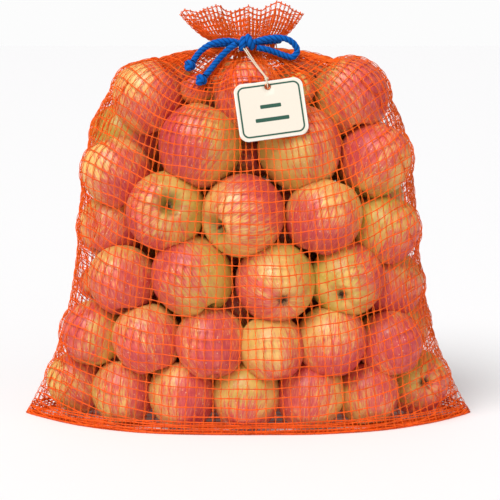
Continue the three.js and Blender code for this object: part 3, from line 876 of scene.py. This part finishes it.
def fillMiddle(found):
    # the hollows between the front and the back apples hold apples too
    step = middleApples["step"]
    places = np.array([
        (x, y, z) for x in range(-161, 162, step) for y in range(-28, 29, step) for z in range(28, 332, step)
    ], float)
    room = np.array([
        min(depthAt(x, z) - abs(y), min(outlineAt(z)[0], 204) - abs(x)) for x, y, z in places
    ]) - middleApples["fromNet"]
    for a in found:
        room = np.minimum(room, np.linalg.norm(places - a["centre"], axis=1) - a["radius"] * 0.97)
    random = sequence(733)
    while room.max() > middleApples["smallest"]:
        best = np.argmax(room)
        radius = min(room[best] * middleApples["squeeze"], middleApples["largest"])
        axis = unit(np.array([next(random) - 0.5, next(random) - 0.5, next(random)]))
        found.append({
            "tier": min(5, int(places[best, 2] / 56)), "centre": places[best].copy(), "radius": radius,
            "held": False, "axis": axis, "blush": None, "strength": 0.6, "ground": 0.4,
        })
        room = np.minimum(room, np.linalg.norm(places - places[best], axis=1) - radius * 0.97)
    return found


# "body" is the height of a whole apple without its dips and "netShare" that of its shoulders
appleShape = {
    "rings": 24, "segments": 34, "body": 1.03, "netShare": 0.92, "taper": 0.06,
    "stemDip": 0.46, "stemDipWidth": 0.25, "calyxDip": 0.26, "calyxDipWidth": 0.26,
    "lobes": 0.014, "stemLength": 12, "stemRadius": 1.25, "aboveFloor": 0.4,
}
appleList = settleApples(layOutApples())
print(len(appleList), "apples settled")


# The net, pulled tight round the apples as in the CAD

def pushOut(points, share=apples["shareOfHeight"], cap=None):
    # moves points that are inside an apple out to the net's clearance from it, in place; an apple
    # is an ellipsoid, cut off flat at its shoulders where a cap is given
    clearance = net["clearance"]
    flat = points.reshape(-1, 3)
    for a in appleList:
        away = flat - a["centre"]
        squared = (away**2).sum(axis=1)
        reach = a["radius"] + clearance
        near = np.nonzero(squared < reach * reach)[0]
        if not len(near):
            continue
        away, squared = away[near], squared[near]
        along = away @ a["axis"]
        polar = a["radius"] * share + clearance
        across = np.sqrt(np.maximum(0, squared - along**2))
        depth = np.hypot(across / reach, along / polar)
        if cap:
            depth = np.maximum(depth, np.abs(along) / (a["radius"] * cap + clearance))
        inside = (depth < 1) & (depth > 0)
        flat[near[inside]] = a["centre"] + away[inside] / depth[inside, None]
    return points


def evenHalfLoop(at, count):
    turn = np.pi * np.arange(181) / 180
    across = np.cos(turn)
    pointed = 1 - smoothStep(at[2], 10, 110)
    depth = np.sqrt(np.maximum(0, 1 - across**2)) * (1 - pointed) + (1 - np.abs(across) ** 3) * pointed
    trace = np.stack([at[0] * across, at[1] * depth], axis=1)
    lengths = lengthsAlong(trace)
    wanted = lengths[-1] * np.arange(count) / count
    return np.stack([np.interp(wanted, lengths, trace[:, k]) for k in (0, 1)], axis=1)


def slackNet():
    loops = []
    for at in spacedPoints(netOutline, net["rows"]):
        back = evenHalfLoop(at, net["columns"] // 2)
        flat = np.vstack([back, -back])
        shift = net["neckShift"] * smoothStep(at[2], 300, 369)
        loops.append(np.column_stack([flat[:, 0] + shift, flat[:, 1], np.full(len(flat), at[2])]))
    return np.array(loops)


def tightenNet(grid):
    half = net["columns"] // 2
    slack = grid.copy()
    columns = np.arange(net["columns"])
    toEdge = np.minimum(columns % half, half - columns % half) / net["shoulderReach"]
    stays = smoothStep(slack[1:-1, 0, 2], 60, 200)
    hold = (net["shoulderStay"] * stays[:, None] * np.exp(-toEdge**2)[None])[..., None]
    edge = columns % half == 0
    side = np.where(columns < half, 1, -1)[None, :]
    for _ in range(net["passes"]):
        before = grid
        left, right = np.roll(before, 1, axis=1)[1:-1], np.roll(before, -1, axis=1)[1:-1]
        middle = (before[:-2] + before[2:] + left + right) / 4
        inner = before[1:-1] + (middle - before[1:-1]) * net["pull"]
        inner += (slack[1:-1] - inner) * hold
        inner[:, edge] = slack[1:-1][:, edge]
        pushOut(inner)
        kept = inner[:, edge].copy()
        inner[..., 1] = side * np.maximum(net["halfLayer"], side * inner[..., 1])
        inner[..., 2] = np.maximum(inner[..., 2], 0.6)
        inner[:, edge] = kept
        grid = before.copy()
        grid[1:-1] = inner
    return grid


surfaceNet = tightenNet(slackNet())
fillMiddle(appleList)
for apple in appleList:
    apple["centre"][2] = max(apple["centre"][2], apple["radius"] * appleShape["netShare"] + 1)
print("net pulled tight round", len(appleList), "apples")


# The visible net: two twisted warp strands up each column, a flat tape across each row

strandNet = {
    "columns": 116, "rows": 43, "steps": 4, "restHeight": 1.1,
    "warpWidth": 0.7, "warpApart": 0.7, "tapeWidth": 1.27, "tapeThickness": 0.55, "knotWidth": 1.3,
    "folds": 13, "bunching": 1.45, "foldDepth": 2.2, "evening": 26, "drift": 0.1,
    "seam": 0.6,
}


def netColumns():
    # the surface net resampled to the visible columns
    count = strandNet["columns"]
    at = np.arange(count) * net["columns"] / count
    low = at.astype(int)
    share = (at - low)[None, :, None]
    return surfaceNet[:, low] * (1 - share) + surfaceNet[:, (low + 1) % net["columns"]] * share


def netPoints():
    # each column runs from the bottom seam along the floor to the fold, then up; rows are placed
    # by the length of net below them and evened out between neighbouring columns
    columns = netColumns()
    count, steps = strandNet["columns"], strandNet["steps"]
    fineRows = strandNet["rows"] * steps + 1
    shares = np.linspace(0, 1, fineRows)
    places = np.zeros((fineRows, count))
    lines = []
    for j in range(count):
        rise = columns[:, j].copy()
        rise[0, 2] = strandNet["restHeight"]
        fold = rise[0]
        seam = -strandNet["seam"] * abs(fold[1])
        line = np.vstack([[(fold[0], seam, strandNet["restHeight"])], rise])
        hidden = abs(fold[1] - seam)
        at = lengthsAlong(line) - hidden
        wanted = -hidden + shares * (at[-1] + hidden)
        places[:, j] = np.interp(wanted, at, np.arange(len(line)))
        lines.append(line)
    even = places
    for _ in range(strandNet["evening"]):
        even = (np.roll(even, 1, axis=1) + 2 * even + np.roll(even, -1, axis=1)) / 4
    share = shares[:, None]
    weight = smoothStep(share, 0.0, 0.14)
    places = places + (even - places) * weight
    order = np.arange(count)[None]
    drift = np.sin(0.41 * order + 9 * share) * np.sin(7.3 * share + 0.13 * order)
    drift = drift + 0.6 * np.sin(1.1 * order - 31 * share)
    places = places + strandNet["drift"] * drift * np.sin(np.pi * share)
    points = np.zeros(places.shape + (3,))
    for j, line in enumerate(lines):
        index = np.arange(len(line))
        points[:, j] = np.stack([np.interp(places[:, j], index, line[:, k]) for k in range(3)], axis=1)
    return points


def gatherNeck(points):
    # near the tie the net lies in folds, with strands bunched in the hollows
    count = strandNet["columns"]
    rows = len(points)
    up = smoothStep(np.linspace(0, 1, rows), 0.80, 0.98)
    columns = np.arange(count)
    wave = 2 * np.pi * strandNet["folds"] * columns / count
    reach = strandNet["bunching"] * count / (2 * np.pi * strandNet["folds"])
    gathered = points.copy()
    for i in range(rows):
        wobble = 0.5 * np.sin(columns * 0.9 + i * 0.11) + 0.3 * np.sin(columns * 0.37 - i * 0.07)
        bunched = up[i] * reach * np.sin(wave + 0.6 * np.sin(columns * 0.31))
        at = columns + bunched + 0.22 * wobble * (1 - up[i])
        for k in range(3):
            gathered[i, :, k] = np.interp(at, columns, points[i, :, k], period=count)
        outward = unit(gathered[i] * (0.25, 1.0, 0.0) + 1e-6)
        gathered[i] += outward * (strandNet["foldDepth"] * up[i] * (np.cos(wave) - 0.3))[:, None]
    return gathered


def surfaceNormals(points):
    upward = np.gradient(points, axis=0)
    around = np.roll(points, -1, axis=1) - np.roll(points, 1, axis=1)
    return unit(np.cross(around, upward))


netGrid = gatherNeck(netPoints())
pushOut(netGrid, appleShape["body"], appleShape["netShare"])
netGrid[..., 2] = np.maximum(netGrid[..., 2], strandNet["restHeight"])
netNormals = surfaceNormals(netGrid)


def strandShade(count, points, sides, seed):
    # each strand its own brightness
    random = sequence(seed)
    return np.repeat([0.86 + 0.22 * next(random) for _ in range(count)], points * sides)


def warpStrands(grid, normals, columns, cellSteps, seed, width=None):
    # pairs of thin strands that cross once in each cell
    picked = grid[:, columns].transpose(1, 0, 2)
    outward = normals[:, columns].transpose(1, 0, 2)
    across = unit(np.cross(np.gradient(picked, axis=1), outward))
    phase = np.pi * np.arange(picked.shape[1]) / cellSteps
    shift = across * np.cos(phase)[None, :, None] + outward * np.sin(phase)[None, :, None]
    pair = np.concatenate([picked + shift * strandNet["warpApart"], picked - shift * strandNet["warpApart"]])
    both = np.concatenate([outward, outward])
    width = width or strandNet["warpWidth"]
    vertices, faces = sweep(pair, both, width, width, 3)
    shades = strandShade(len(pair), pair.shape[1], 3, seed)
    return vertices, faces, {"shade": shades}


def tapeStrands(grid, normals, rows, width, thickness, seed, lift=0.0):
    # flat tapes round the sack, with a point between each two columns
    lines = grid[rows]
    between = (lines + np.roll(lines, -1, axis=1)) / 2
    pushOut(between, appleShape["body"], appleShape["netShare"])
    between[..., 2] = np.maximum(between[..., 2], strandNet["restHeight"])
    doubled = np.stack([lines, between], axis=2).reshape(len(rows), -1, 3)
    outward = normals[rows]
    outwardBetween = unit(outward + np.roll(outward, -1, axis=1))
    outward = np.stack([outward, outwardBetween], axis=2).reshape(len(rows), -1, 3)
    place = np.arange(doubled.shape[1])[None]
    order = np.arange(len(rows))[:, None]
    wander = 1 + 0.16 * np.sin(place * 0.37 + order * 2.1) + 0.10 * np.sin(place * 1.13 - order * 1.3)
    wander = wander * np.where(place % 2 == 0, strandNet["knotWidth"], 0.9)
    vertices, faces = sweep(doubled + outward * lift, outward, width * wander, thickness, 4, closed=True)
    return vertices, faces, {"shade": strandShade(len(rows), doubled.shape[1], 4, seed)}


def addNet(name, material, *parts):
    whole = joined(parts)
    addPiece(name, whole[0], whole[1], material, ["net_sack"], whole[2])


halfCount = strandNet["columns"] // 2
for name, first, seed in (("netWarpBack", 0, 11), ("netWarpFront", halfCount, 12)):
    columns = np.arange(first, first + halfCount)
    addNet(name, warpNet, warpStrands(netGrid, netNormals, columns, strandNet["steps"], seed))
rowIndex = np.arange(0, len(netGrid), strandNet["steps"])
rowTape = (strandNet["tapeWidth"], strandNet["tapeThickness"])
addNet("netTapes", tapeNet, tapeStrands(netGrid, netNormals, rowIndex, *rowTape, 21))
hem = {"rows": 3, "tape": (2.3, 1.1), "lift": 0.5}
hemRows = np.arange(hem["rows"])
addNet("netHem", tapeNet, tapeStrands(netGrid, netNormals, hemRows, *hem["tape"], 22, hem["lift"]))


baseRows = {"offsets": [-9 + 2.8 * k for k in range(9)], "sway": 0.9, "width": 1.5, "thickness": 0.7}


def baseBand():
    # rows crowded together where the net turns under
    columns = netColumns()
    rows = []
    for offset in baseRows["offsets"]:
        row = []
        for j in range(strandNet["columns"]):
            rise = columns[:, j]
            line = np.vstack([[(rise[0, 0], 0, 0)], rise])
            at = lengthsAlong(line) - abs(rise[0, 1])
            sway = baseRows["sway"] * math.sin(0.53 * j + offset) * math.sin(0.17 * j - 2 * offset)
            row.append([np.interp(offset + sway, at, line[:, k]) for k in range(3)])
        rows.append(row)
    band = np.array(rows)
    band[..., 2] = np.maximum(band[..., 2], strandNet["restHeight"])
    return band


band = baseBand()
outwards = unit(band * (1, 1, 0) + (0, 0, 1e-3))
bandTapes = tapeStrands(band, outwards, np.arange(len(band)), baseRows["width"], baseRows["thickness"], 24)
betweenColumns = (band + np.roll(band, -1, axis=1)) / 2
bandWarp = warpStrands(betweenColumns, outwards, np.arange(strandNet["columns"]), 1, 25)
addNet("netBase", tapeNet, bandTapes, bandWarp)


sideFolds = {
    "reach": 6, "depth": 2.2, "drop": -4.5, "from": 0.06, "to": 0.8, "tape": (1.2, 0.5), "lowest": 1.2,
}


def sideFold(edge):
    # the loose net along a side, crumpled into a second layer
    reach = sideFolds["reach"]
    columns = edge + np.linspace(-reach, reach, 2 * reach + 1)
    start, end = int(len(netGrid) * sideFolds["from"]), int(len(netGrid) * sideFolds["to"])
    rows = np.arange(start, end)
    at = (columns[None] + 0.8 * np.sin(rows[:, None] * 0.23 + columns[None] * 1.3)) % strandNet["columns"]
    low = at.astype(int)
    share = (at - low)[..., None]
    following = (low + 1) % strandNet["columns"]
    layer = netGrid[rows[:, None], low] * (1 - share) + netGrid[rows[:, None], following] * share
    inward = np.zeros_like(layer)
    centre = netGrid[rows].mean(axis=1)[:, None]
    inward[..., 0] = np.sign(centre[..., 0] - layer[..., 0])
    waves = 1.2 + np.sin(rows[:, None] * 0.31 + columns[None] * 0.9) + 0.5 * np.sin(rows[:, None] * 0.77)
    crumple = sideFolds["depth"] * waves
    layer = layer + inward * crumple[..., None] * 0.6
    layer[..., 1] += 0.8 * np.sin(rows[:, None] * 0.4 + columns[None])
    layer[..., 2] += sideFolds["drop"]
    return layer


def openTapes(layer, normals, step, width, thickness, seed):
    lines = layer[::step]
    vertices, faces = sweep(lines, normals[::step], width, thickness, 4)
    return vertices, faces, {"shade": strandShade(len(lines), lines.shape[1], 4, seed)}


foldParts = []
for edge, seed in ((0, 51), (strandNet["columns"] // 2, 53)):
    layer = sideFold(edge)
    layer[..., 2] = np.maximum(layer[..., 2], sideFolds["lowest"])
    outward = unit(layer * (1, 1, 0) + 1e-6)
    foldParts.append(warpStrands(layer, outward, np.arange(0, layer.shape[1], 2), strandNet["steps"], seed))
    foldParts.append(openTapes(layer, outward, strandNet["steps"], *sideFolds["tape"], seed + 1))
addNet("netSides", tapeNet, *foldParts)


# each layer: how deep it lies, its turn against the folds and its seed
pleats = {"start": 0.86, "layers": ((2.4, 2.6, 41), (4.6, 4.4, 43)), "tape": (1.2, 0.5)}


def innerPleat(depth, turn):
    # the net doubles back inside itself where it is gathered below the tie
    start = int(len(netGrid) * pleats["start"])
    pleat = netGrid[start:]
    count = strandNet["columns"]
    up = np.linspace(0, 1, len(pleat))[:, None]
    columns = np.arange(count)[None]
    wave = 2 * np.pi * strandNet["folds"] * columns / count + turn
    at = columns + strandNet["bunching"] * count / (2 * np.pi * strandNet["folds"]) * np.sin(wave) * up
    moved = np.stack([
        [np.interp(at[i], columns[0], pleat[i, :, k], period=count) for k in range(3)]
        for i in range(len(pleat))
    ]).transpose(0, 2, 1)
    normals = netNormals[start:]
    inward = unit((pleat.mean(axis=1, keepdims=True) - moved) * (1, 1, 0) + (0, 1e-6, 0))
    return moved + (inward + (0, 0, -0.5)) * depth * smoothStep(up, 0, 0.4)[..., None], normals


pleatParts = []
for depth, turn, seed in pleats["layers"]:
    pleat, pleatNormals = innerPleat(depth, turn)
    shown = np.arange(0, strandNet["columns"], 2)
    crossed = np.arange(2, len(pleat), strandNet["steps"])
    pleatParts.append(warpStrands(pleat, pleatNormals, shown, strandNet["steps"], seed))
    pleatParts.append(tapeStrands(pleat, pleatNormals, crossed, *pleats["tape"], seed + 1))
addNet("netPleats", tapeNet, *pleatParts)
print("net ready")


# The pleated mouth above the tie

ruffle = {
    "rows": 6, "tieHeight": 7.5, "height": 29.5, "halfWidth": 57, "halfDepth": 17, "shift": -2.6,
    "stepsPerRow": 3, "endLength": 1.8, "foldedShare": 0.75, "strandWidth": 0.95,
    "tape": (1.25, 0.5), "edgeTape": (1.3, 0.7),
    # how far round from the right end, how far the net stands out there, how far its edge rises
    "folds": [
        (0, 2, -4.6), (0.12, -4, -4), (0.24, 6, 0.5), (0.36, -5, -5), (0.5, 6, 1), (0.62, -5, -5.2),
        (0.76, 6, -0.5), (0.88, -4, -4.6), (1, 2, -5), (1.07, 4, -0.4), (1.15, -3, -2.6), (1.24, 2, 1),
        (1.33, 7, 3.7), (1.38, -2, -1.4), (1.44, -6, -2.8), (1.5, -1, -0.4), (1.55, 5, 3.2),
        (1.6, -1, 0.3), (1.66, -6, -0.9), (1.7, -1, 2.9), (1.77, 7, 7.3), (1.83, 5, 4.4),
        (1.92, 0, -1.2), (2, 2, -4.6),
    ],
}


def foldAt(places):
    table = np.array(ruffle["folds"])
    k = np.clip(np.searchsorted(table[:, 0], places) - 1, 0, len(table) - 2)
    share = smoothStep(places, table[k, 0], table[k + 1, 0])[:, None]
    return (table[k, 1:] * (1 - share) + table[k + 1, 1:] * share).T


def ruffleRing(up):
    # one loop of the mouth, 0 at the tie and 1 at its top edge
    neckHalfWidth, neckHalfDepth, neckHeight = netOutline[-1]
    count = strandNet["columns"]
    halfWidth = neckHalfWidth + (ruffle["halfWidth"] - neckHalfWidth) * up**0.6
    halfDepth = neckHalfDepth + (ruffle["halfDepth"] - neckHalfDepth) * up
    shape = evenHalfLoop((halfWidth, halfDepth, neckHeight), count // 2)
    ring = np.vstack([shape, -shape])
    out, rise = foldAt(np.arange(count) * 2 / count)
    outward = unit(ring / (halfWidth**2, halfDepth**2))
    ring = ring + outward * (out * up)[:, None]
    x = ring[:, 0] + net["neckShift"] + ruffle["shift"] * up
    return np.column_stack([x, ring[:, 1], neckHeight + ruffle["tieHeight"] + (ruffle["height"] + rise) * up])


def addRuffle():
    steps = ruffle["stepsPerRow"]
    levels = np.linspace(0, 1, ruffle["rows"] * steps + 1)
    rings = np.array([netGrid[-1] + (0, 0, 0.5)] + [ruffleRing(up) for up in levels])
    ends = rings[-1] + unit(rings[-1] - rings[-2]) * ruffle["endLength"]
    grid = np.concatenate([rings, ends[None]])
    normals = surfaceNormals(grid)
    shown = np.arange(0, strandNet["columns"], 2)
    thick = ruffle["strandWidth"]
    outer = warpStrands(grid, normals, shown, steps, 31, thick)
    # every other column is folded in and ends lower
    low = int(len(grid) * ruffle["foldedShare"])
    inner = warpStrands((grid - normals * 2.0)[:low], normals[:low], shown + 1, steps, 34, thick)
    addNet("ruffleWarp", warpNet, outer, inner)
    rows = np.arange(1, len(rings), steps)
    addNet("ruffleTapes", tapeNet, tapeStrands(grid, normals, rows, *ruffle["tape"], 32))
    last = np.array([len(rings) - 1])
    addNet("ruffleEdge", tapeNet, tapeStrands(grid, normals, last, *ruffle["edgeTape"], 33))


addRuffle()
print("mouth ready")


# The apples themselves

def appleFrame(axis, spin):
    side = np.cross(axis, (0.31, 0.17, 0.93))
    if np.linalg.norm(side) < 0.2:
        side = np.cross(axis, (1.0, 0, 0))
    side = unit(side)
    other = np.cross(axis, side)
    turned = side * math.cos(spin) + other * math.sin(spin)
    return turned, other * math.cos(spin) - side * math.sin(spin), axis


def profileHeight(rho, height):
    # how far the skin is above the middle, in radii, for a place on the unit sphere
    share = appleShape["body"]
    dip = appleShape["stemDip"] * np.exp(-((rho / appleShape["stemDipWidth"]) ** 2)) * (height > 0)
    basin = appleShape["calyxDip"] * np.exp(-((rho / appleShape["calyxDipWidth"]) ** 2)) * (height <= 0)
    return share * height - dip + basin


def appleMesh(apple, random):
    spin, wobble, seed = 2 * math.pi * next(random), 2 * math.pi * next(random), 40 * next(random)
    lopsided = 0.05 * (next(random) - 0.5)
    frameAxes = np.array(appleFrame(apple["axis"], spin))
    rings, segments = appleShape["rings"], appleShape["segments"]
    polar = np.pi * np.arange(1, rings) / rings
    turn = 2 * np.pi * np.arange(segments) / segments
    rho = np.sin(polar)[:, None] * np.ones(segments)
    height = np.cos(polar)[:, None] * np.ones(segments)
    low = smoothStep(-height, -0.3, 1.0)
    z = profileHeight(rho, height) + lopsided * rho * np.cos(turn + wobble)
    wide = rho * (1 - appleShape["taper"] * low)
    lobed = 1 + appleShape["lobes"] * np.cos(5 * turn + wobble) * (low - 0.2)
    wide = wide * (lobed + 0.012 * np.cos(2 * turn + spin) - 0.012)
    local = np.stack([wide * np.cos(turn), wide * np.sin(turn), z], axis=-1).reshape(-1, 3)
    poles = np.array([(0, 0, profileHeight(0.0, 1.0)), (0, 0, profileHeight(0.0, -1.0))])
    local = np.vstack([local, poles])
    vertices = apple["centre"] + local @ frameAxes * apple["radius"]
    direction = unit(vertices - apple["centre"])
    vertices[:, 2] = np.maximum(vertices[:, 2], appleShape["aboveFloor"])
    if apple["blush"]:
        facing, strength, ground = apple["blush"], apple["strength"], apple["ground"]
    else:
        facing = [next(random) - 0.5 for _ in range(3)]
        strength, ground = 0.4 + 0.4 * next(random), next(random)
    blush = 0.5 * (direction @ unit(np.array(facing, float))) + strength
    turns = np.cos(turn) + 0 * rho, np.sin(turn) + 0 * rho, polar[:, None] / np.pi + 0 * rho
    around = np.stack(turns, axis=-1)
    around = np.vstack([around.reshape(-1, 3), [(0, 0, 0), (0, 0, 1)]])
    look = np.column_stack([blush, np.full(len(blush), ground), np.full(len(blush), seed)])
    index = np.arange((rings - 1) * segments).reshape(rings - 1, segments)
    following = np.roll(index, -1, axis=1)
    quads = np.stack([index[:-1], index[1:], following[1:], following[:-1]], axis=-1).reshape(-1, 4).tolist()
    top, bottom = (rings - 1) * segments, (rings - 1) * segments + 1
    quads += [[top, int(a), int(b)] for a, b in zip(index[0], following[0])]
    quads += [[bottom, int(b), int(a)] for a, b in zip(index[-1], following[-1])]
    return vertices, quads, {"around": around, "look": look}


def stemMesh(apple, random):
    # a short bent stem in the cavity and five dry leaves in the basin
    frameAxes = np.array(appleFrame(apple["axis"], 2 * math.pi * next(random)))
    radius = apple["radius"]
    foot = profileHeight(0.0, 1.0) * radius - 1
    bend = 3.5 * (next(random) - 0.2)
    t = np.linspace(0, 1, 6)
    local = np.column_stack([bend * t**2, 0 * t, foot + appleShape["stemLength"] * t])
    line = apple["centre"] + local @ frameAxes
    thick = appleShape["stemRadius"] * 2 * (0.85 + 0.5 * t**4)
    normals = np.repeat(frameAxes[1][None], len(line), axis=0)
    vertices, faces = sweep(line[None], normals[None], thick[None], thick[None], 6)
    faces = faces.tolist() + [list(range(5, -1, -1)), list(range(30, 36))]
    parts = [(vertices, faces, {})]
    floor = profileHeight(0.0, -1.0) * radius
    for k in range(5):
        angle = 2 * math.pi * k / 5
        out = np.array((math.cos(angle), math.sin(angle), 0))
        aside = np.array((-math.sin(angle), math.cos(angle), 0))
        corners = [aside * 1.3, -aside * 1.3, out * 2.0 + (0, 0, -1.0), out * 3.4 + (0, 0, -4.2)]
        leaf = np.array(corners) + (0, 0, floor + 0.6)
        parts.append((apple["centre"] + leaf @ frameAxes, [[0, 1, 3], [0, 2, 1], [0, 3, 2], [1, 2, 3]], {}))
    vertices, faces, points = joined(parts)
    vertices[:, 2] = np.maximum(vertices[:, 2], appleShape["aboveFloor"])
    return vertices, faces, points


def addApples():
    random = sequence(4021)
    for tier in range(len(frontRows)):
        skins, stems = [], []
        for apple in appleList:
            if apple["tier"] == tier:
                skins.append(appleMesh(apple, random))
                stems.append(stemMesh(apple, random))
        skin, stem = joined(skins), joined(stems)
        addPiece("apples" + str(tier + 1), skin[0], skin[1], appleSkin, ["net_sack"], skin[2])
        addPiece("appleStems" + str(tier + 1), stem[0], stem[1], appleStem, ["net_sack"])


addApples()
print("apples ready")
